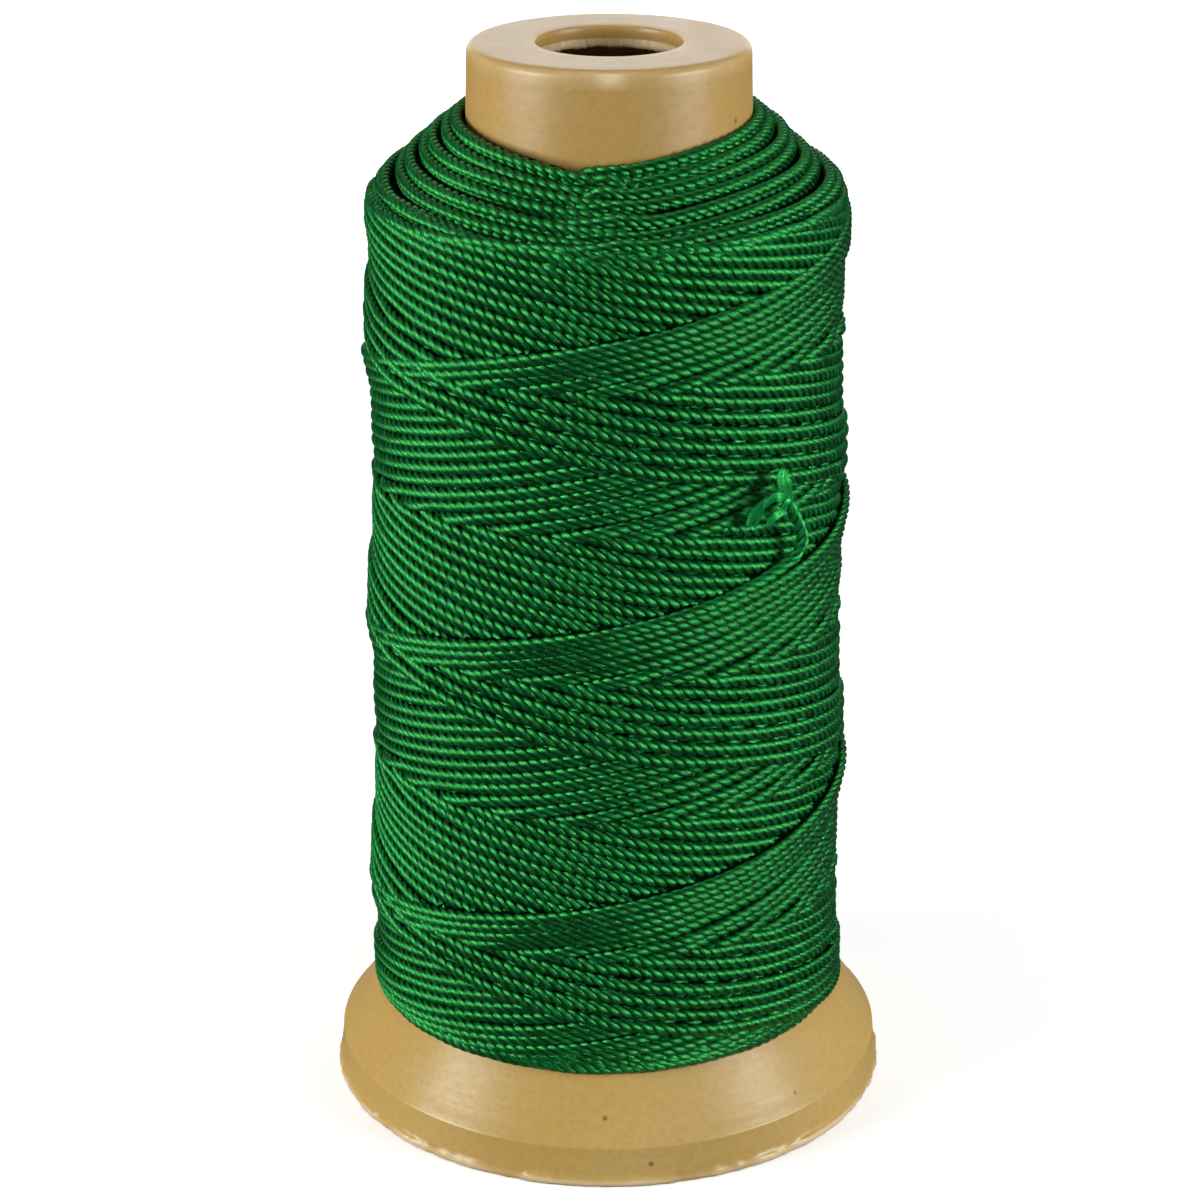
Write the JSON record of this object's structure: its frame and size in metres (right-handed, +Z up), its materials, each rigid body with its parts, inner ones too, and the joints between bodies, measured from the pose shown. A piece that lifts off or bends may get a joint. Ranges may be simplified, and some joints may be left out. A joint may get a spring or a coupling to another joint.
{
  "type": "fishing line spool",
  "caption": "Hollow moulded spool with a wide conical foot and a collar with a spindle hole, wound full of green twisted line whose loose end is frayed.",
  "frame": {"origin": "middle of the foot's underside, on the surface that the spool stands on", "axes": "+Z up along the spool's axis from foot to collar; -Y towards the side from which the loose end is seen at the right, +X to the right of that view"},
  "size_m": [0.066, 0.066, 0.125],
  "materials": {
    "foot_plastic": "semi-gloss moulded, tan, small dark specks",
    "tube_plastic": "as moulded, tan",
    "collar_plastic": "semi-gloss moulded, tan, faint orange peel",
    "wound_line": "three-ply twisted filament line, silky sheen",
    "loose_line": "three-ply twisted filament line, cut and frayed"
  },
  "bodies": {
    "root": {"foot_cone": "foot_plastic", "core_tube": "tube_plastic", "top_collar": "collar_plastic", "line_winding": "wound_line", "line_tail": "loose_line", "tail_ply_upper": "loose_line", "tail_ply_middle": "loose_line", "tail_ply_lower": "loose_line"}
  },
  "joints": []
}
